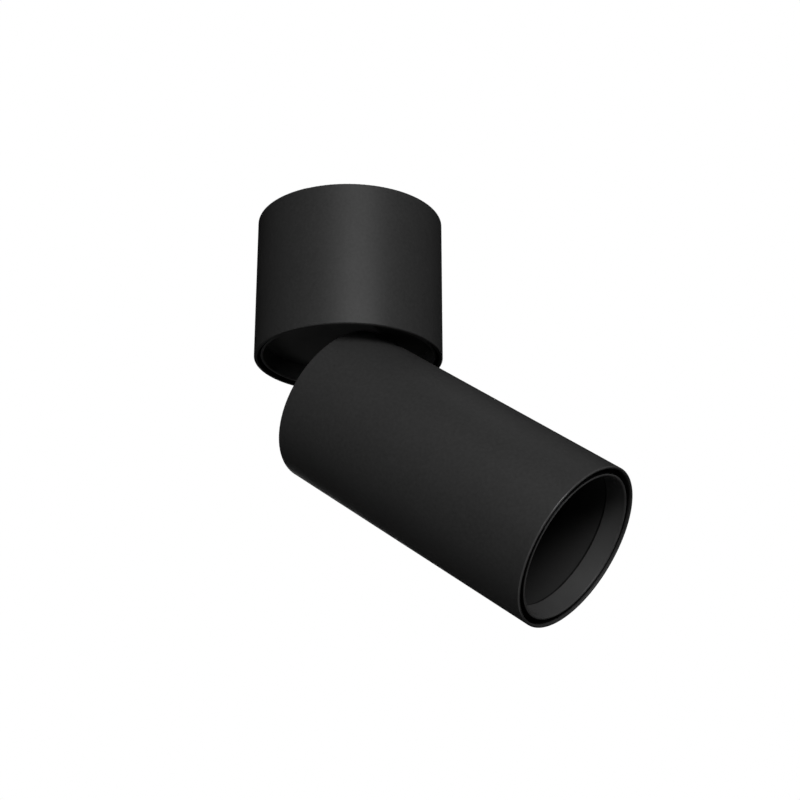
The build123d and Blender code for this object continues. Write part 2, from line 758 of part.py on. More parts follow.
# Lamp: a flared body with a rim, a lens in the rim and two pins at the back
lamp_rim_back = lamp_face - lamp_rim_length
lamp_flare_front = lamp_rim_back - (lamp_radius - lamp_flare_radius)
lamp_flare_back = lamp_flare_front - lamp_flare_length
lens_back = lamp_face - lamp_lens_thickness
lens_seat = lamp_radius - lamp_rim_width
with BuildPart() as lamp_body:
    with BuildSketch(head_section):
        with BuildLine():
            Polyline((0, lamp_back), (lamp_neck_radius, lamp_back), (lamp_neck_radius, lamp_flare_back))
            TangentArc(
                (lamp_neck_radius, lamp_flare_back), (lamp_flare_radius, lamp_flare_front), tangent=(0, 1)
            )
            Polyline(
                (lamp_flare_radius, lamp_flare_front),
                (lamp_radius, lamp_rim_back),
                (lamp_radius, lamp_face),
                (lens_seat, lamp_face),
                (lens_seat, lens_back),
                (0, lens_back),
                (0, lamp_back),
            )
        make_face()
    revolve(axis=head_axis)

with BuildPart() as lamp_lens:
    with BuildSketch(head_cross(lens_back)):
        Circle(lens_seat - seat_gap)
    extrude(amount=lamp_lens_thickness)

with BuildPart() as lamp_pins:
    with BuildSketch(head_cross(lamp_back)):
        with GridLocations(1, pin_spacing, 1, 2):
            Circle(pin_stem_radius)
    extrude(amount=-pin_length)
    with BuildSketch(head_cross(lamp_back - pin_length)):
        with GridLocations(1, pin_spacing, 1, 2):
            Circle(pin_head_radius)
    extrude(amount=pin_head_length)

# Trim ring: a tapered ring with a rounded lip, a land that guides it and a groove for its seal
seal_groove_floor = seal_middle - seal_section / 2 - running_gap
seal_groove_half = seal_section / 2 + seal_side_gap
with BuildPart() as trim_ring:
    with BuildSketch(head_section):
        with BuildLine():
            Polyline(
                (lip_inner, ring_front),
                (lip_outer, ring_front),
                (lip_outer, land_front),
                (ring_land, land_front),
                (ring_land, seal_station + seal_groove_half),
                (seal_groove_floor, seal_station + seal_groove_half),
                (seal_groove_floor, seal_station - seal_groove_half),
                (ring_land, seal_station - seal_groove_half),
                (ring_land, ring_back),
                (baffle_radius + seat_gap, ring_back),
                (baffle_radius + seat_gap, ring_inner_end),
                (ring_bore, ring_inner_end),
                close=True,
            )
        make_face()
    revolve(axis=head_axis)
    lip_edges = trim_ring.edges().filter_by(GeomType.CIRCLE).sort_by(head_axis)[-2:]
    fillet(lip_edges, lip_round_share * ring_lip)

with BuildPart() as ring_seal:
    with BuildSketch(head_section):
        with Locations((seal_middle, seal_station)):
            Circle(seal_section / 2)
    revolve(axis=head_axis)

# Glare baffle: a dark tube behind the ring, with a lip in front of the lamp's edge
with BuildPart() as glare_baffle:
    with BuildSketch(head_section):
        with BuildLine():
            Polyline(
                (baffle_radius, ring_inner_end),
                (baffle_radius, baffle_back),
                (baffle_bore - baffle_lip_width, baffle_back),
                (baffle_bore - baffle_lip_width, baffle_back + baffle_lip_thickness),
                (baffle_bore, baffle_back + baffle_lip_thickness),
                (baffle_bore, ring_inner_end),
                close=True,
            )
        make_face()
    revolve(axis=head_axis)

# Terminal block on two standoffs, with a clamp tube and two screws for each pole
pole_places = [pole_pitch * (index - (pole_count - 1) / 2) for index in range(pole_count)]
block_face = Plane(origin=(block_inner_face, 0, 0), x_dir=(0, 1, 0), z_dir=(1, 0, 0))
with BuildPart() as block_standoffs:
    with BuildSketch(Plane.XY.offset(ledge_z)):
        with Locations(*standoff_places):
            RegularPolygon(standoff_across_flats / 2, 6, major_radius=False)
    extrude(amount=block_z - ledge_z)
    with BuildSketch(Plane.XY.offset(ledge_z)):
        with Locations(*standoff_places):
            Circle(standoff_stud_radius)
    extrude(amount=-bearing_plate_thickness)
    with BuildSketch(Plane.XY.offset(block_z)):
        with Locations(*standoff_places):
            Circle(standoff_stud_radius + running_gap)
    extrude(amount=-block_screw_grip, mode=Mode.SUBTRACT)

with BuildPart() as terminal_block:
    with BuildSketch(Plane.XY.offset(block_z)):
        with Locations((block_middle, 0)):
            Rectangle(block_depth, pole_count * pole_pitch)
    extrude(amount=block_height)
    fillet(terminal_block.edges().filter_by(Axis.Z), block_round)
    with BuildSketch(block_face):
        with Locations(*[(place, pole_z) for place in pole_places]):
            Circle(tube_outer + seat_gap)
    extrude(amount=block_depth, mode=Mode.SUBTRACT)
    with BuildSketch(Plane.XY.offset(pole_z)):
        with Locations((block_middle, 0)):
            with GridLocations(clamp_screw_spacing, pole_pitch, 2, pole_count):
                Circle(clamp_well_radius)
    extrude(amount=block_top - pole_z, mode=Mode.SUBTRACT)
    with BuildSketch(Plane.XY.offset(block_z)):
        with Locations(*standoff_places):
            Circle(standoff_stud_radius + seat_gap)
    extrude(amount=block_height, mode=Mode.SUBTRACT)

with BuildPart() as terminal_tubes:
    with BuildSketch(block_face):
        with Locations(*[(place, pole_z) for place in pole_places]):
            Circle(tube_outer)
            Circle(tube_bore, mode=Mode.SUBTRACT)
    extrude(amount=block_depth)
    with BuildSketch(Plane.XY.offset(pole_z)):
        with Locations((block_middle, 0)):
            with GridLocations(clamp_screw_spacing, pole_pitch, 2, pole_count):
                Circle(clamp_screw_radius + running_gap)
    extrude(amount=tube_outer, mode=Mode.SUBTRACT)

with BuildPart() as terminal_screws:
    with BuildSketch(Plane.XY.offset(pole_z + tube_bore)):
        with Locations((block_middle, 0)):
            with GridLocations(clamp_screw_spacing, pole_pitch, 2, pole_count):
                Circle(clamp_screw_radius)
    extrude(amount=clamp_screw_length)

block_screw = pan_screw(
    standoff_stud_radius, block_screw_head, block_screw_head_height, block_height + block_screw_grip
)
with BuildPart(Plane.XY.offset(block_top)) as block_screws:
    with Locations(*standoff_places):
        add(block_screw)

# Inner wiring: three cores from the terminals to a sleeve that runs down the stem to the lampholder
core_turns = [radians(360 * (index - (pole_count - 1) / 2) / pole_count) for index in range(pole_count)]
core_ends = [(core_spread * cos(turn), core_spread * sin(turn)) for turn in core_turns]
with BuildPart() as base_cores:
    for place, (end_x, end_y) in zip(pole_places, core_ends):
        start = (block_inner_face, place, pole_z)
        over_sleeve = (end_x, end_y, pole_z)
        bottom = (end_x, end_y, sleeve_top)
        if place == end_y:
            corners = [start, over_sleeve, bottom]
        else:
            corners = [start, (block_inner_face - core_straight, place, pole_z), over_sleeve, bottom]
        with BuildLine() as core_route:
            FilletPolyline(*corners, radius=core_bend)
        with BuildSketch(Plane(origin=start, z_dir=(-1, 0, 0))):
            Circle(core_radius)
        sweep(path=core_route.line)

flex_start = pivot + Vector(0, 0, flex_reach)
flex_end = pivot + head_forward * flex_reach
stem_sleeve = straight_sleeve(Plane(origin=flex_start), sleeve_top - flex_start.Z)
with BuildPart() as flex_sleeve:
    with BuildLine() as flex_route:
        TangentArc(flex_start, flex_end, tangent=(0, 0, -1))
    with BuildSketch(Plane(origin=flex_start, z_dir=(0, 0, -1))):
        Circle(sleeve_radius)
    sweep(path=flex_route.line)
head_sleeve = straight_sleeve(head_cross(flex_reach), holder_back + sleeve_seat - flex_reach)

pieces = {
    "base_shell": base_shell,
    "ceiling_bracket": ceiling_bracket,
    "cable_grommet": cable_grommet,
    "earth_screw": earth_screw,
    "earth_washer": earth_washer,
    "locking_screw": locking_screw,
    "bearing_plate": bearing_plate,
    "plate_screws": plate_screws,
    "pan_bush": pan_bush,
    "slip_ring": slip_ring,
    "stop_pin": stop_pin,
    "block_standoffs": block_standoffs,
    "terminal_block": terminal_block,
    "terminal_tubes": terminal_tubes,
    "terminal_screws": terminal_screws,
    "block_screws": block_screws,
    "base_cores": base_cores,
    "turntable_cup": turntable_cup,
    "tilt_stem": tilt_stem,
    "stop_washer": stop_washer,
    "spring_washer": spring_washer,
    "lock_nut": lock_nut,
    "stem_sleeve": stem_sleeve,
    "flex_sleeve": flex_sleeve,
    "head_tube": head_tube,
    "rear_cap": rear_cap,
    "cap_screws": cap_screws,
    "pivot_screws": pivot_screws,
    "friction_washers": friction_washers,
    "pivot_springs": pivot_springs,
    "holder_bracket": holder_bracket,
    "bracket_screws": bracket_screws,
    "lampholder": lampholder,
    "holder_contacts": holder_contacts,
    "holder_screws": holder_screws,
    "lamp_body": lamp_body,
    "lamp_lens": lamp_lens,
    "lamp_pins": lamp_pins,
    "head_sleeve": head_sleeve,
    "trim_ring": trim_ring,
    "glare_baffle": glare_baffle,
    "ring_seal": ring_seal,
}
for name, piece in pieces.items():
    piece.part.label = name
    export_step(piece.part, f"parts/{name}.step")
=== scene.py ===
# %% [markdown]
# # A matte black ceiling spotlight
# The light is a round base with a turntable in its foot, and a slim lamp head that tilts under it.
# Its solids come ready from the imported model, so this lesson gives them their finishes, adds the details
# that are too fine for the solids, and lights the whole thing for its portrait.
# Blender works in metres here, so a length in millimetres is multiplied by `MM`.

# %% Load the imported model
import json
from math import cos, pi, radians, sin, tan

import bpy
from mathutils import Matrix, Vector

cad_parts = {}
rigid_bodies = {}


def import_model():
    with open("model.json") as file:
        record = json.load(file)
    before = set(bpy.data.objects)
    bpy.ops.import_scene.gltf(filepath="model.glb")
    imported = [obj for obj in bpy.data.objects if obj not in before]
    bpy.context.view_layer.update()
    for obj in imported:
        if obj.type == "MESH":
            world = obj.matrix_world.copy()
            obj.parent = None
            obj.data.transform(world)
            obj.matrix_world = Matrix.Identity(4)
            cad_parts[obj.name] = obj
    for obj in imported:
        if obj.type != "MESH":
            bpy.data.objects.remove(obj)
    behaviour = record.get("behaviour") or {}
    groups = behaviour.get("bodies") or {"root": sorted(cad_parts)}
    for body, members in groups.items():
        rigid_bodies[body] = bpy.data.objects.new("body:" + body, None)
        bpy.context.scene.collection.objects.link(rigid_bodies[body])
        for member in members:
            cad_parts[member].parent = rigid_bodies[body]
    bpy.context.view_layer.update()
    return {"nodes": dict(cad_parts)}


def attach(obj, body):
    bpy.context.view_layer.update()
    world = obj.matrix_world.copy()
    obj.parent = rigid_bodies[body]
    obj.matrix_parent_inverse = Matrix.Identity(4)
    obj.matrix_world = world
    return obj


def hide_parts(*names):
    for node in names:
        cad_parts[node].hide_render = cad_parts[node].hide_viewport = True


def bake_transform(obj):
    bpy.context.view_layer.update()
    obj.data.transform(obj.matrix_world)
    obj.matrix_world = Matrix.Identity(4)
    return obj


bpy.ops.object.select_all(action="SELECT")
bpy.ops.object.delete()
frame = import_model()
nodes = frame["nodes"]
MM = 0.001
print("nodes loaded:", len(nodes))

# %% [markdown]
# ## The camera
# The photograph looks up at the light from about twenty degrees below it. A camera can be placed by its
# own position, but an aim point on the object, two angles and a distance say more about the picture, and
# they can be changed one at a time. A long lens from close by keeps the base's slight taper.

# %% Place the camera
aim = Vector((21.707, -0.474, -74.542)) * MM
azimuth = radians(26.98)
elevation = radians(-20.265)
distance = 560.0 * MM
lens_mm = 69.9
sensor_mm = 36.0


def direction(turn, rise):
    """The unit direction at a turn from the front, -Y, and a rise from the level, both in radians."""
    return Vector((sin(turn) * cos(rise), -cos(turn) * cos(rise), sin(rise)))


def face_aim(thing, away, reach):
    """Stand a camera or a lamp off from the aim point, and turn it to face that point."""
    thing.location = aim + away * reach
    thing.rotation_mode = "QUATERNION"
    thing.rotation_quaternion = (-away).to_track_quat("-Z", "Y")


camera_data = bpy.data.cameras.new("portrait_camera")
camera_data.lens = lens_mm
camera_data.sensor_width = sensor_mm
camera_data.clip_start = 10.0 * MM
camera = bpy.data.objects.new("portrait_camera", camera_data)
face_aim(camera, direction(azimuth, elevation), distance)
bpy.context.scene.collection.objects.link(camera)
bpy.context.scene.camera = camera
print("camera at", [round(c, 4) for c in camera.location])

# %% [markdown]
# ## Tools for the finishes
# Every finish is a small tree of shader nodes. One function adds a node, sets what it is given and links
# what comes from other nodes. Colours are written as on a paint chart, in sRGB hex, and turned to the
# linear values that the shaders work in. A pattern's scale comes from the real width of its grain.


# %% Colours, scales and nodes
def linear(hex_code):
    """The linear colour of an sRGB hex code."""
    shares = [int(hex_code[i : i + 2], 16) / 255 for i in (1, 3, 5)]
    return (*[s / 12.92 if s <= 0.04045 else ((s + 0.055) / 1.055) ** 2.4 for s in shares], 1.0)


def per_mm(width):
    """The texture scale that gives a grain of this width in millimetres."""
    return 1 / (width * MM)


def add_node(tree, kind, inputs=None, **settings):
    """Add a node with its settings. An input is a plain value, a hex code or another node's output."""
    node = tree.nodes.new(kind)
    for name, value in settings.items():
        setattr(node, name, value)
    for name, value in (inputs or {}).items():
        if isinstance(value, bpy.types.NodeSocket):
            tree.links.new(value, node.inputs[name])
        else:
            node.inputs[name].default_value = linear(value) if isinstance(value, str) else value
    return node


print("mid grey in linear light:", round(linear("#808080")[0], 3))

# %% [markdown]
# A material starts with the place on the object and ends with its surface. In between, patterns give it
# its skin: a colour between two tones, a roughness between two values, and a relief.


# %% From pattern to material
def start_material(name):
    """A new material with an empty node tree, and its object coordinates."""
    material = bpy.data.materials.new(name)
    material.use_nodes = True
    tree = material.node_tree
    tree.nodes.clear()
    place = add_node(tree, "ShaderNodeTexCoord").outputs["Object"]
    return material, tree, place


def skin(tree, tone, gloss, relief):
    """The colour, roughness and normal that patterns give a surface.

    The tone and the gloss are a pattern with two ends, and the relief is a pattern with a depth in
    millimetres and a strength. A noise is mostly between 0.3 and 0.7, so that range fills the gloss.
    """
    pattern, low, high = tone
    colour = add_node(tree, "ShaderNodeMix", {"Factor": pattern, "A": low, "B": high}, data_type="RGBA")
    pattern, low, high = gloss
    ends = {"Value": pattern, "From Min": 0.3, "From Max": 0.7, "To Min": low, "To Max": high}
    roughness = add_node(tree, "ShaderNodeMapRange", ends)
    pattern, depth, strength = relief
    bump = add_node(tree, "ShaderNodeBump", {"Height": pattern, "Distance": depth * MM, "Strength": strength})
    return colour.outputs["Result"], roughness.outputs["Result"], bump.outputs["Normal"]


def finish_material(material, tree, **sockets):
    """Give the material its surface. Socket names are written with _ for a space."""
    inputs = {name.replace("_", " "): value for name, value in sockets.items()}
    surface = add_node(tree, "ShaderNodeBsdfPrincipled", inputs)
    add_node(tree, "ShaderNodeOutputMaterial", {"Surface": surface.outputs[0]})
    return material


def dress(material, *names):
    """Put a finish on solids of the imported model."""
    for name in names:
        nodes[name].data.materials.clear()
        nodes[name].data.materials.append(material)
    print(material.name, "on", ", ".join(names))


# %% [markdown]
# ## Black powder coat
# The base and the head are aluminium with a matte black powder coat: fine grains of paint that melt into a
# skin with a faint orange peel. It could be a plain black, but then the broad highlights would look like
# plastic film. Two noises do better: a fine one for the grains, and a slow one for the uneven depth of the
# coat. Inside the base's bore, and from about a millimetre into the head's mouth, the colour is painted
# nearly black as the shade inside the tube. The outer edge of the head's front rim is smoother, as if worn,
# and painted paler as a highlight. Such zones are found by their distance from the tube's axis and their
# place along it. The head's axis leans, so its coordinates are leaned back first.

# %% Places around an axis
TILT = radians(54.4)
PIVOT = Vector((0.0, 0.0, -75.0024)) * MM


def around_axis(tree, place, lean):
    """The distance from an axis through the pivot that leans by an angle, and the height along it."""
    inputs = {"Vector": place, "Center": PIVOT, "Angle": lean}
    upright = add_node(tree, "ShaderNodeVectorRotate", inputs, rotation_type="Y_AXIS").outputs[0]
    x, y, height = add_node(tree, "ShaderNodeSeparateXYZ", {0: upright}).outputs
    flat = add_node(tree, "ShaderNodeCombineXYZ", {0: x, 1: y}).outputs[0]
    radius = add_node(tree, "ShaderNodeVectorMath", {0: flat}, operation="LENGTH").outputs["Value"]
    return radius, height


def zone(tree, *tests):
    """1 where all tests hold, each a value, a comparison and a limit in millimetres, and 0 elsewhere."""
    mask = 1.0
    for value, comparison, limit in tests:
        test = add_node(tree, "ShaderNodeMath", {0: value, 1: limit * MM}, operation=comparison).outputs[0]
        mask = add_node(tree, "ShaderNodeMath", {0: test, 1: mask}, operation="MULTIPLY").outputs[0]
    return mask


print("pivot height:", round(PIVOT.z / MM, 1), "mm")

# %% Powder coat
# Nearly black, painted where shade falls: in bores, in narrow gaps and deep in the baffle.
SHADE_BLACK = "#080808"
NO_RIM = -1000.0
RIM_RADIUS = 29.65
# How far behind the rim's rounding the bore's painted shade begins, in millimetres.
BORE_SHADE_DEPTH = 0.55


def black_powder_coat(name, lean, bore, rim=NO_RIM):
    """Matte black powder coat. The grain is drawn at 1.1 mm, because the real 0.2 mm wouldn't show."""
    material, tree, place = start_material(name)
    radius, height = around_axis(tree, place, lean)
    # Painted highlight: the outer edge of the head's rim is painted paler, and it is also smoother, as if
    # worn.
    worn_and_highlight = zone(tree, (height, "LESS_THAN", rim), (radius, "GREATER_THAN", RIM_RADIUS))
    # Painted shade: the bore is painted nearly black, in the head from about a millimetre behind the rim.
    bore_shade = zone(tree, (radius, "LESS_THAN", bore), (height, "GREATER_THAN", rim + BORE_SHADE_DEPTH))
    grit = {"Vector": place, "Scale": per_mm(1.1), "Detail": 3.0}
    grain = add_node(tree, "ShaderNodeTexNoise", grit).outputs["Fac"]
    cloud = add_node(tree, "ShaderNodeTexNoise", {"Vector": place, "Scale": per_mm(14.0)}).outputs["Fac"]
    coat, dull, peel = skin(tree, (grain, "#212121", "#2d2d2d"), (cloud, 0.43, 0.49), (grain, 0.05, 0.1))
    for share, colour in ((worn_and_highlight, "#363636"), (bore_shade, SHADE_BLACK)):
        mixed = add_node(tree, "ShaderNodeMix", {"Factor": share, "A": coat, "B": colour}, data_type="RGBA")
        coat = mixed.outputs["Result"]
    smoothed = add_node(tree, "ShaderNodeMix", {"Factor": worn_and_highlight, "A": dull, "B": 0.18})
    return finish_material(
        material,
        tree,
        Base_Color=coat,
        Roughness=smoothed.outputs["Result"],
        Normal=peel,
        Specular_IOR_Level=0.14,
    )


# %% Coat the tubes
BASE_BORE = 33.75
HEAD_BORE = 29.1
NO_BORE = 0.0
HEAD_FRONT = 107.0
RIM_ROUNDING = 0.45
head_rim = PIVOT.z / MM - HEAD_FRONT + RIM_ROUNDING
dress(black_powder_coat("black_powder_coat_base", 0.0, BASE_BORE), "base_shell")
dress(black_powder_coat("black_powder_coat_head", TILT, HEAD_BORE, head_rim), "head_tube")
dress(black_powder_coat("black_powder_coat_cap", TILT, NO_BORE), "rear_cap")

# %% [markdown]
# ## Turned and anodised black
# The cup in the base's foot, the ring in the mouth and the stem are turned on a lathe and anodised black.
# The tool leaves fine lines around the axis, which an even noise can't show. A noise of the distance from
# the axis and the height along it is the same all the way round, as the lines are. The outer sides of the
# cup and the ring, which face a narrow gap, are painted nearly black as the shade in that gap.

# %% Anodised aluminium
CUP_GAP_SHADE_RADIUS = 32.55
RING_GAP_SHADE_RADIUS = 27.0


def black_anodised(name, low, high, lean, gap_shade_radius):
    """Satin black anodised aluminium with turning lines, drawn at three times the real 0.1 mm."""
    material, tree, place = start_material(name)
    radius, height = around_axis(tree, place, lean)
    section = add_node(tree, "ShaderNodeCombineXYZ", {0: radius, 2: height}).outputs[0]
    cuts = {"Vector": section, "Scale": per_mm(0.3), "Detail": 1.0}
    lines = add_node(tree, "ShaderNodeTexNoise", cuts).outputs["Fac"]
    bloom = add_node(tree, "ShaderNodeTexNoise", {"Vector": place, "Scale": per_mm(9.0)}).outputs["Fac"]
    satin, gloss, relief = skin(tree, (bloom, low, high), (lines, 0.33, 0.43), (lines, 0.02, 0.1))
    # Painted shade: outside this radius the cup and the ring face a narrow gap, and their colour is painted
    # nearly black.
    clear_of_gap_shade = zone(tree, (radius, "LESS_THAN", gap_shade_radius))
    mixed = add_node(tree, "ShaderNodeMix", {"Factor": clear_of_gap_shade, "A": SHADE_BLACK, "B": satin}, data_type="RGBA")
    return finish_material(
        material,
        tree,
        Base_Color=mixed.outputs["Result"],
        Roughness=gloss,
        Normal=relief,
        Specular_IOR_Level=0.06,
    )


cup_finish = black_anodised("black_anodised_cup", "#383838", "#414141", 0.0, CUP_GAP_SHADE_RADIUS)
dress(cup_finish, "turntable_cup", "tilt_stem")
ring_finish = black_anodised("black_anodised_ring", "#313131", "#3a3a3a", TILT, RING_GAP_SHADE_RADIUS)
dress(ring_finish, "trim_ring")

# %% [markdown]
# ## Dull black baffle
# The tube behind the ring keeps the lamp's glare out of the eyes. It is moulded in dull black plastic with
# a fine sparkling skin, and is painted darker towards the lamp as the shade deeper in the tube. At its front
# edge, where it meets the ring, a thin dark line of painted shade marks the joint.

# %% Baffle finish
BAFFLE_FRONT = 99.0
BAFFLE_FADE = 20.0
JOINT_SHADE_WIDTH = 0.8


def dull_baffle():
    """Dull black moulded plastic, painted darker as shade: a thin dark line at the joint, and satin behind it
    deepening to nearly black 20 mm further in.
    """
    material, tree, place = start_material("dull_black_plastic")
    height = around_axis(tree, place, TILT)[1]
    # Painted shade: the colour darkens towards the lamp, deeper in the tube.
    front = PIVOT.z - BAFFLE_FRONT * MM
    fade = {"Value": height, "From Min": front, "From Max": front + BAFFLE_FADE * MM}
    depth = add_node(tree, "ShaderNodeMapRange", fade).outputs["Result"]
    # Painted shade: a thin dark line at the joint with the ring.
    joint_shade = zone(tree, (height, "LESS_THAN", front / MM + JOINT_SHADE_WIDTH))
    shade = add_node(tree, "ShaderNodeMath", {0: depth, 1: joint_shade}, operation="MAXIMUM").outputs[0]
    sparkle = {"Vector": place, "Scale": per_mm(0.5), "Detail": 3.0}
    grain = add_node(tree, "ShaderNodeTexNoise", sparkle).outputs["Fac"]
    satin, gloss, relief = skin(tree, (grain, "#1f1f1f", "#272727"), (grain, 0.6, 0.7), (grain, 0.05, 0.2))
    mixed = add_node(tree, "ShaderNodeMix", {"Factor": shade, "A": satin, "B": SHADE_BLACK}, data_type="RGBA")
    return finish_material(
        material,
        tree,
        Base_Color=mixed.outputs["Result"],
        Roughness=gloss,
        Normal=relief,
        Specular_IOR_Level=0.06,
    )


dress(dull_baffle(), "glare_baffle")

# %% [markdown]
# ## Plain finishes
# The other materials differ in colour, grain and gloss, but are made the same way: one noise that varies
# the colour, the roughness and the height. One function makes them all, and each line below says what the
# real finish is. Where a real grain is too fine to show, it is drawn coarser.


# %% Black inner parts
def grained(name, low, high, width, rough, bump=0.1, **sockets):
    """A finish between two colours, with a grain of this width in millimetres and a range of roughness."""
    material, tree, place = start_material(name)
    pattern = {"Vector": place, "Scale": per_mm(width), "Detail": 3.0}
    grain = add_node(tree, "ShaderNodeTexNoise", pattern).outputs["Fac"]
    colour, gloss, relief = skin(tree, (grain, low, high), (grain, *rough), (grain, 0.05, bump))
    return finish_material(material, tree, Base_Color=colour, Roughness=gloss, Normal=relief, **sockets)


# Black oxide on steel screws: thin, slightly brown where it is worn
black_oxide = grained("black_oxide_steel", "#1b1b1c", "#2a2826", 0.8, (0.35, 0.5), Specular_IOR_Level=0.4)
dress(black_oxide, "locking_screw", "cap_screws", "bracket_screws", "pivot_screws")
# Black rubber with a faint bloom
rubber = grained("black_rubber", "#191919", "#232323", 1.2, (0.6, 0.75), Specular_IOR_Level=0.3)
dress(rubber, "cable_grommet", "ring_seal")

# %% Bare and plated metal
# Dull zinc on stamped steel: pale grey with slow clouds a few millimetres wide
zinc = grained("dull_zinc_steel", "#b4b7ba", "#c9cbcd", 2.5, (0.5, 0.62), 0.05, Metallic=1.0)
dress(
    zinc,
    "ceiling_bracket",
    "bearing_plate",
    "plate_screws",
    "stop_pin",
    "stop_washer",
    "block_standoffs",
    "block_screws",
    "holder_bracket",
    "holder_screws",
)
# Hardened spring steel, blue-grey from its heat treatment
spring_steel = grained("spring_steel", "#6c6d70", "#838180", 1.5, (0.3, 0.4), Metallic=1.0)
dress(spring_steel, "spring_washer", "pivot_springs")
# Plain turned brass, a little darker where it was handled
brass = grained("plain_brass", "#b8923f", "#cfab55", 1.8, (0.25, 0.4), Metallic=1.0)
dress(brass, "earth_screw", "earth_washer", "terminal_tubes", "lock_nut", "holder_contacts")
# Nickel plating on the lamp's pins
nickel = grained("nickel_plate", "#b9b4a8", "#cfcabf", 0.8, (0.18, 0.28), 0.03, Metallic=1.0)
dress(nickel, "lamp_pins")

# %% Pale plastics and ceramic
# Natural nylon: cream and a little waxy
nylon = grained("natural_nylon", "#cfccbf", "#dbd8cd", 0.9, (0.42, 0.52))
dress(nylon, "pan_bush", "slip_ring", "friction_washers")
# White moulded terminal plastic with a fine matt skin
terminal_plastic = grained("terminal_plastic", "#d6d6d2", "#dfdfdb", 0.5, (0.45, 0.55))
dress(terminal_plastic, "terminal_block")
# Unglazed lampholder ceramic: chalky, with small specks
ceramic = grained("unglazed_ceramic", "#cdc8ba", "#dcd7ca", 0.4, (0.65, 0.8), 0.3)
dress(ceramic, "lampholder")
# Smooth white moulded lamp housing
lamp_plastic = grained("lamp_plastic", "#d3d3d1", "#dcdcda", 0.7, (0.3, 0.38), 0.05)
dress(lamp_plastic, "lamp_body")

# %% [markdown]
# ## Woven sleeve
# The wires run through a sleeve of woven glass fibre with silicone. Its weave is two sets of slanting
# yarns, which could be modelled, but at half a millimetre a yarn it is better as a bump: two waves that
# cross, and the higher of the two is the yarn on top. It is drawn much coarser, so that it shows at all.


# %% Sleeve finish
def bands_apart(width):
    """The wave texture's scale for bands this far apart in millimetres: one unit is 20 radians of wave."""
    return per_mm(width) * 2 * pi / 20


def woven_sleeve():
    """White glass-fibre sleeve. Its yarns, really half a millimetre wide, are drawn 3.77 mm apart."""
    material, tree, place = start_material("woven_glass_sleeve")
    yarns = []
    for slant in (45.0, -45.0):
        turn = {"Vector": place, "Angle": radians(slant)}
        slanted = add_node(tree, "ShaderNodeVectorRotate", turn, rotation_type="Y_AXIS").outputs[0]
        wave = {"Vector": slanted, "Scale": bands_apart(3.77), "Distortion": 0.4}
        yarns.append(add_node(tree, "ShaderNodeTexWave", wave).outputs["Fac"])
    top = add_node(tree, "ShaderNodeMath", {0: yarns[0], 1: yarns[1]}, operation="MAXIMUM").outputs[0]
    colour, gloss, relief = skin(tree, (top, "#a8a498", "#d5d2c8"), (top, 0.6, 0.75), (top, 0.15, 0.5))
    return finish_material(material, tree, Base_Color=colour, Roughness=gloss, Normal=relief)


sleeve_finish = woven_sleeve()
dress(sleeve_finish, "stem_sleeve", "head_sleeve")

# %% [markdown]
# ## Bending sleeve
# At the tilt pivot the sleeve bends with the head. The solid there is a fixed arc, so a tube with many
# rings takes its place. The Spin tool sweeps a disc around the arc's centre, which gives the same arc as
# the solid.

# %% Spin the bending sleeve
SLEEVE_RADIUS = 2.2 * MM
FLEX_REACH = 7.0 * MM
MERGE_DISTANCE = 0.001 * MM
head_forward = Vector((sin(TILT), 0.0, -cos(TILT)))
flex_start = PIVOT + Vector((0.0, 0.0, FLEX_REACH))
bend_centre = flex_start + Vector((FLEX_REACH / tan(TILT / 2), 0.0, 0.0))


def new_piece(name):
    """Name the object that was just added, and put its place and turn into its mesh."""
    piece = bpy.context.active_object
    piece.name = name
    bpy.ops.object.transform_apply(location=True, rotation=True, scale=True)
    return piece


bpy.ops.object.select_all(action="DESELECT")
bpy.ops.mesh.primitive_circle_add(vertices=32, radius=SLEEVE_RADIUS, fill_type="NGON", location=flex_start)
flex_tube = new_piece("flex_sleeve_tube")
bpy.ops.object.mode_set(mode="EDIT")
bpy.ops.mesh.select_all(action="SELECT")
bpy.ops.mesh.spin(steps=24, angle=-TILT, center=bend_centre, axis=(0.0, 1.0, 0.0))
bpy.ops.mesh.select_all(action="SELECT")
bpy.ops.mesh.remove_doubles(threshold=MERGE_DISTANCE)
bpy.ops.mesh.normals_make_consistent(inside=False)
bpy.ops.object.mode_set(mode="OBJECT")
bpy.ops.object.shade_smooth_by_angle(angle=radians(40))
flex_tube.data.materials.append(sleeve_finish)
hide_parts("flex_sleeve")
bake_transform(flex_tube)
print("bending sleeve faces:", len(flex_tube.data.polygons))

# %% [markdown]
# ## The three cores
# In the base the supply goes on in three cores: brown, blue, and green with yellow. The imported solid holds
# all three in one node, so a copy of it is merged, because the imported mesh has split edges, and is then
# separated into its loose parts. Each part can be told by the side that it starts on.


# %% Insulation finishes
def insulation(name, low, high, band=None):
    """Silicone insulation between two tones, with bands 10 mm apart where a colour is given for them."""
    material, tree, place = start_material(name)
    grain = add_node(tree, "ShaderNodeTexNoise", {"Vector": place, "Scale": per_mm(1.5)}).outputs["Fac"]
    colour, gloss, relief = skin(tree, (grain, low, high), (grain, 0.35, 0.45), (grain, 0.03, 0.1))
    if band:
        wave = {"Vector": place, "Scale": bands_apart(10.05)}
        bands = add_node(tree, "ShaderNodeTexWave", wave, bands_direction="Z").outputs["Fac"]
        edge = {"Value": bands, "From Min": 0.48, "From Max": 0.52}
        share = add_node(tree, "ShaderNodeMapRange", edge).outputs["Result"]
        mixed = add_node(tree, "ShaderNodeMix", {"Factor": share, "A": colour, "B": band}, data_type="RGBA")
        colour = mixed.outputs["Result"]
    return finish_material(material, tree, Base_Color=colour, Roughness=gloss, Normal=relief)


core_finishes = {
    "core_neutral": insulation("blue_insulation", "#2a63a8", "#3270b8"),
    "core_earth": insulation("green_yellow_insulation", "#2c7d3c", "#358a45", "#d9c23a"),
    "core_live": insulation("brown_insulation", "#5f3b26", "#6c452e"),
}
print("core finishes:", [finish.name for finish in core_finishes.values()])

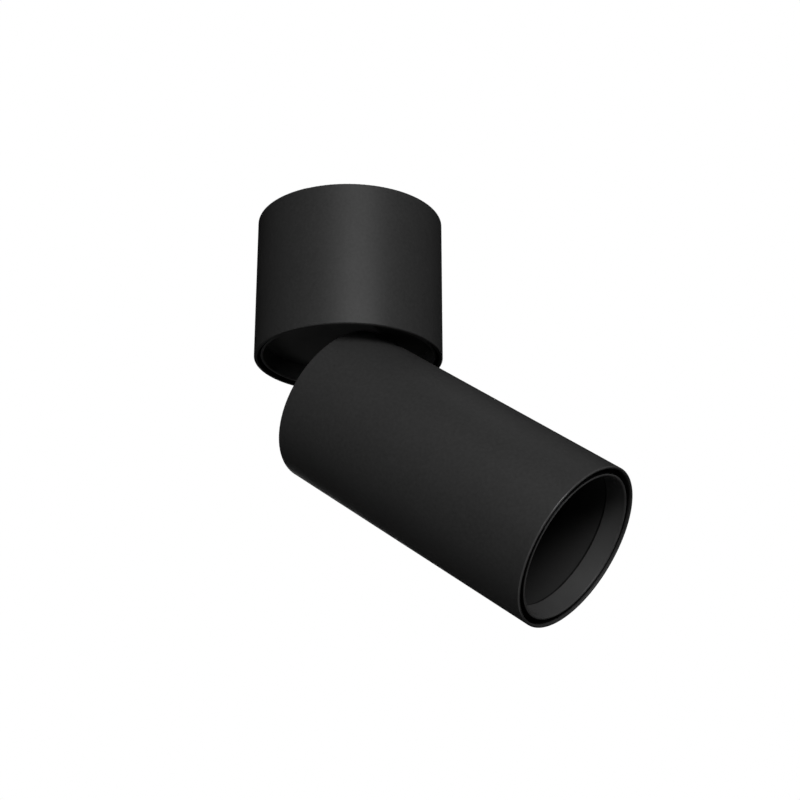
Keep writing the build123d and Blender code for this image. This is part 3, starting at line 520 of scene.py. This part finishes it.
# %% Separate the cores
bpy.ops.object.select_all(action="DESELECT")
cores = nodes["base_cores"].copy()
cores.data = nodes["base_cores"].data.copy()
bpy.context.scene.collection.objects.link(cores)
cores.select_set(True)
bpy.context.view_layer.objects.active = cores
bpy.ops.object.mode_set(mode="EDIT")
bpy.ops.mesh.select_all(action="SELECT")
bpy.ops.mesh.remove_doubles(threshold=MERGE_DISTANCE)
bpy.ops.mesh.separate(type="LOOSE")
bpy.ops.object.mode_set(mode="OBJECT")
loose = sorted(bpy.context.selected_objects, key=lambda core: sum(v.co.y for v in core.data.vertices))
for core, (name, finish) in zip(loose, core_finishes.items()):
    core.name = name
    core.data.materials.clear()
    core.data.materials.append(finish)
    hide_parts("base_cores")
    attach(core, "base")
bpy.ops.object.shade_smooth_by_angle(angle=radians(40))
print("cores:", [core.name for core in loose])

# %% [markdown]
# ## Slotted clamp screws
# The solids of the six clamp screws are plain rods. A real clamp screw has a turned edge and a slot for the
# screwdriver. One starts as a cylinder; its edges are bevelled, and a thin block is subtracted for the
# slot. A knife cut would only draw the slot, while the subtraction gives it walls and a floor. It is then
# copied to six places, with each slot turned as the screw came to rest.

# %% A clamp screw
CLAMP_RADIUS = 1.2 * MM
CLAMP_FOOT = -18.4 * MM
CLAMP_TOP = -14.4 * MM
CLAMP_EDGE = 0.15 * MM
SLOT_WIDTH = 0.5 * MM
SLOT_DEPTH = 0.8 * MM
bpy.ops.object.select_all(action="DESELECT")
bpy.ops.mesh.primitive_cube_add(size=1.0, location=(0.0, 0.0, CLAMP_TOP))
cutter = bpy.context.active_object
cutter.scale = (3 * CLAMP_RADIUS, SLOT_WIDTH, 2 * SLOT_DEPTH)
clamp_middle = (0.0, 0.0, (CLAMP_TOP + CLAMP_FOOT) / 2)
clamp_length = CLAMP_TOP - CLAMP_FOOT
bpy.ops.mesh.primitive_cylinder_add(
    vertices=40, radius=CLAMP_RADIUS, depth=clamp_length, location=clamp_middle
)
screw = new_piece("clamp_screw")
bevel = screw.modifiers.new("turned_edges", "BEVEL")
bevel.width = CLAMP_EDGE
bevel.segments = 3
bpy.ops.object.modifier_apply(modifier=bevel.name)
slot = screw.modifiers.new("slot", "BOOLEAN")
slot.operation = "DIFFERENCE"
slot.object = cutter
bpy.ops.object.modifier_apply(modifier=slot.name)
bpy.data.objects.remove(cutter)
print("faces of one clamp screw:", len(screw.data.polygons))

# %% Six clamp screws
clamp_x = (15.5 * MM, 21.5 * MM)
clamp_y = (-9.0 * MM, 0.0, 9.0 * MM)
turns = (0.4, 1.7, 2.5, 0.9, 2.1, 1.2)
places = [(x, y) for x in clamp_x for y in clamp_y]
screws = [screw]
while len(screws) < len(places):
    bpy.ops.object.duplicate(linked=False)
    screws.append(bpy.context.active_object)
for screw, (x, y), turn in zip(screws, places, turns):
    screw.location = (x, y, 0.0)
    screw.rotation_euler = (0.0, 0.0, turn)
    screw.select_set(True)
bpy.ops.object.join()
clamp_screws = new_piece("slotted_clamp_screws")
bpy.ops.object.shade_smooth_by_angle(angle=radians(35))
clamp_screws.data.materials.append(brass)
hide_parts("terminal_screws")
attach(clamp_screws, "base")
print("clamp screw faces:", len(clamp_screws.data.polygons))

# %% [markdown]
# ## The lamp's lens
# The lamp's front is a moulded lens with rings around a plain middle, which spread the light of the lamp
# inside. The solid is a flat disc. This one starts as a disc too, and each inset that is raised or lowered
# adds a ring. The lens stays within the solid's thickness and turns with the head.


# %% Lens finish
def moulded_lens():
    """Frosted polycarbonate: a milky body that lets some light through."""
    material, tree, place = start_material("frosted_lens")
    haze = add_node(tree, "ShaderNodeTexNoise", {"Vector": place, "Scale": per_mm(0.8)}).outputs["Fac"]
    colour, gloss, relief = skin(tree, (haze, "#c9c8c2", "#d6d5d0"), (haze, 0.3, 0.42), (haze, 0.02, 0.1))
    return finish_material(
        material,
        tree,
        Base_Color=colour,
        Roughness=gloss,
        Normal=relief,
        Transmission_Weight=0.4,
    )


lens_finish = moulded_lens()
print("lens finish:", lens_finish.name)

# %% Mould the lens
LENS_RADIUS = 23.4 * MM
LENS_BACK = 69.5 * MM
LENS_THICKNESS = 1.5 * MM
LENS_RINGS = 6
RING_WIDTH = 1.6 * MM
RING_SLOPE = 0.2 * RING_WIDTH
RING_RISE = 0.5 * MM
bpy.ops.object.select_all(action="DESELECT")
bpy.ops.mesh.primitive_circle_add(vertices=128, radius=LENS_RADIUS, fill_type="NGON")
bpy.ops.object.mode_set(mode="EDIT")
bpy.ops.mesh.select_all(action="SELECT")
bpy.ops.mesh.extrude_region_move(TRANSFORM_OT_translate={"value": (0.0, 0.0, LENS_THICKNESS - RING_RISE)})
bpy.ops.mesh.inset(thickness=RING_WIDTH)
for ring in range(LENS_RINGS):
    bpy.ops.mesh.inset(thickness=RING_SLOPE)
    bpy.ops.transform.translate(value=(0.0, 0.0, RING_RISE))
    bpy.ops.mesh.inset(thickness=RING_WIDTH)
    bpy.ops.transform.translate(value=(0.0, 0.0, -RING_RISE))
bpy.ops.mesh.select_all(action="SELECT")
bpy.ops.mesh.normals_make_consistent(inside=False)
bpy.ops.object.mode_set(mode="OBJECT")
lens = bpy.context.active_object
lens.rotation_euler = (0.0, pi - TILT, 0.0)
lens.location = PIVOT + head_forward * LENS_BACK
lens = new_piece("ringed_lens")
bpy.ops.object.shade_smooth_by_angle(angle=radians(30))
lens.data.materials.append(lens_finish)
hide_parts("lamp_lens")
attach(lens, "head")
print("lens faces:", len(lens.data.polygons))

# %% [markdown]
# ## The studio
# The background is white because the world is white where the camera, a reflection or a clear lens looks
# at it; for everything else the world is dim, so that it doesn't flatten the black. Softboxes near the
# camera, the key, left, top and under ones, give the broad highlight down the base and along the head. A weak
# one from the lower left lights the undersides without reaching into the mouth. The crown and rear ones
# light the back for other views, and the rear one is kept out of reflections.

# %% World
DIM_WORLD = 0.03
world = bpy.data.worlds.new("studio")
bpy.context.scene.world = world
world.use_nodes = True
sky = world.node_tree
sky.nodes.clear()
path = add_node(sky, "ShaderNodeLightPath").outputs
seen = path["Is Camera Ray"]
for ray in ("Is Glossy Ray", "Is Transmission Ray"):
    seen = add_node(sky, "ShaderNodeMath", {0: seen, 1: path[ray]}, operation="MAXIMUM").outputs[0]
level = add_node(sky, "ShaderNodeMapRange", {"Value": seen, "To Min": DIM_WORLD, "To Max": 1.0})
backdrop = add_node(sky, "ShaderNodeBackground", {"Color": "#ffffff", "Strength": level.outputs["Result"]})
add_node(sky, "ShaderNodeOutputWorld", {"Surface": backdrop.outputs[0]})
bpy.context.scene.view_settings.view_transform = "Standard"
print("world:", world.name)

# %% Softboxes
SOFTBOX_REACH = 1.2


def softbox(name, turn, rise, width, height, watts):
    """A rectangular soft light that faces the object, from angles in degrees, with its sides in metres."""
    data = bpy.data.lights.new(name, "AREA")
    data.shape = "RECTANGLE"
    data.size = width
    data.size_y = height
    data.energy = watts
    light = bpy.data.objects.new(name, data)
    face_aim(light, direction(radians(turn), radians(rise)), SOFTBOX_REACH)
    bpy.context.scene.collection.objects.link(light)
    return light


softboxes = [
    softbox("key_softbox", 42.0, 9.0, 0.7, 0.35, 14.0),
    softbox("left_softbox", 10.0, -5.0, 0.35, 0.35, 3.0),
    softbox("top_softbox", 27.0, 30.0, 0.4, 0.35, 1.0),
    softbox("under_softbox", 45.0, -45.0, 0.4, 0.4, 0.8),
    softbox("low_left_softbox", -70.0, -46.0, 0.5, 0.5, 1.3),
    softbox("crown_softbox", 207.0, 72.0, 0.6, 0.6, 1.5),
    softbox("rear_softbox", 207.0, 20.0, 0.6, 0.6, 18.0),
]
rear_light = softboxes[-1]
rear_light.visible_glossy = False
print("softboxes:", [light.name for light in softboxes])

# %% [markdown]
# Black boards beside, behind and above the object keep the white world out of its edges, as photographers
# do with dark things on white. The camera doesn't see them, and they cast no shadow: they only show in
# reflections. The pale floor lies far below. It throws no soft light back on the black, because that would
# fill the mouth, which is nearly lightless at its upper end.

# %% Black boards
BOARD_REACH = 0.8
board_finish = grained("black_felt", "#0a0a0a", "#101010", 3.0, (0.9, 1.0), Specular_IOR_Level=0.0)


def board(name, turn, rise, width, height):
    """A black board that faces the object, with its turn in radians and its rise in degrees."""
    bpy.ops.object.select_all(action="DESELECT")
    bpy.ops.mesh.primitive_plane_add(size=1.0)
    panel = bpy.context.active_object
    panel.scale = (width, height, 1.0)
    face_aim(panel, direction(turn, radians(rise)), BOARD_REACH)
    panel = new_piece(name)
    panel.visible_camera = False
    panel.visible_diffuse = False
    panel.visible_shadow = False
    panel.data.materials.append(board_finish)
    return panel


boards = [
    board("left_board", azimuth - pi / 2, 0.0, 3.4, 3.0),
    board("right_board", azimuth + pi / 2, 0.0, 3.4, 3.0),
    board("rear_board", azimuth + pi, 45.0, 1.6, 0.8),
    board("low_board", azimuth + pi, -25.0, 1.2, 0.8),
    board("top_board", azimuth + pi, 88.0, 2.4, 1.6),
]
print("boards:", [panel.name for panel in boards])

# %% Floor
FLOOR_SIZE = 40.0
FLOOR_HEIGHT = -1.2
FLOOR_GLOW = 0.8


def pale_floor():
    """A pale painted floor, which the camera sees a little lighter than the lamps make it."""
    material, tree, place = start_material("pale_floor")
    cloud = add_node(tree, "ShaderNodeTexNoise", {"Vector": place, "Scale": per_mm(90.0)}).outputs["Fac"]
    tones = {"Factor": cloud, "A": "#d8d8d6", "B": "#e0e0de"}
    ends = {"Value": cloud, "From Min": 0.3, "From Max": 0.7, "To Min": 0.7, "To Max": 0.8}
    camera_ray = add_node(tree, "ShaderNodeLightPath").outputs["Is Camera Ray"]
    glow = add_node(tree, "ShaderNodeMath", {0: camera_ray, 1: FLOOR_GLOW}, operation="MULTIPLY").outputs[0]
    return finish_material(
        material,
        tree,
        Base_Color=add_node(tree, "ShaderNodeMix", tones, data_type="RGBA").outputs["Result"],
        Roughness=add_node(tree, "ShaderNodeMapRange", ends).outputs["Result"],
        Emission_Color="#ffffff",
        Emission_Strength=glow,
    )


bpy.ops.object.select_all(action="DESELECT")
bpy.ops.mesh.primitive_plane_add(size=FLOOR_SIZE, location=(0.0, 0.0, FLOOR_HEIGHT))
floor = new_piece("studio_floor")
floor.visible_diffuse = False
floor.data.materials.append(pale_floor())
print("floor at", FLOOR_HEIGHT, "m")
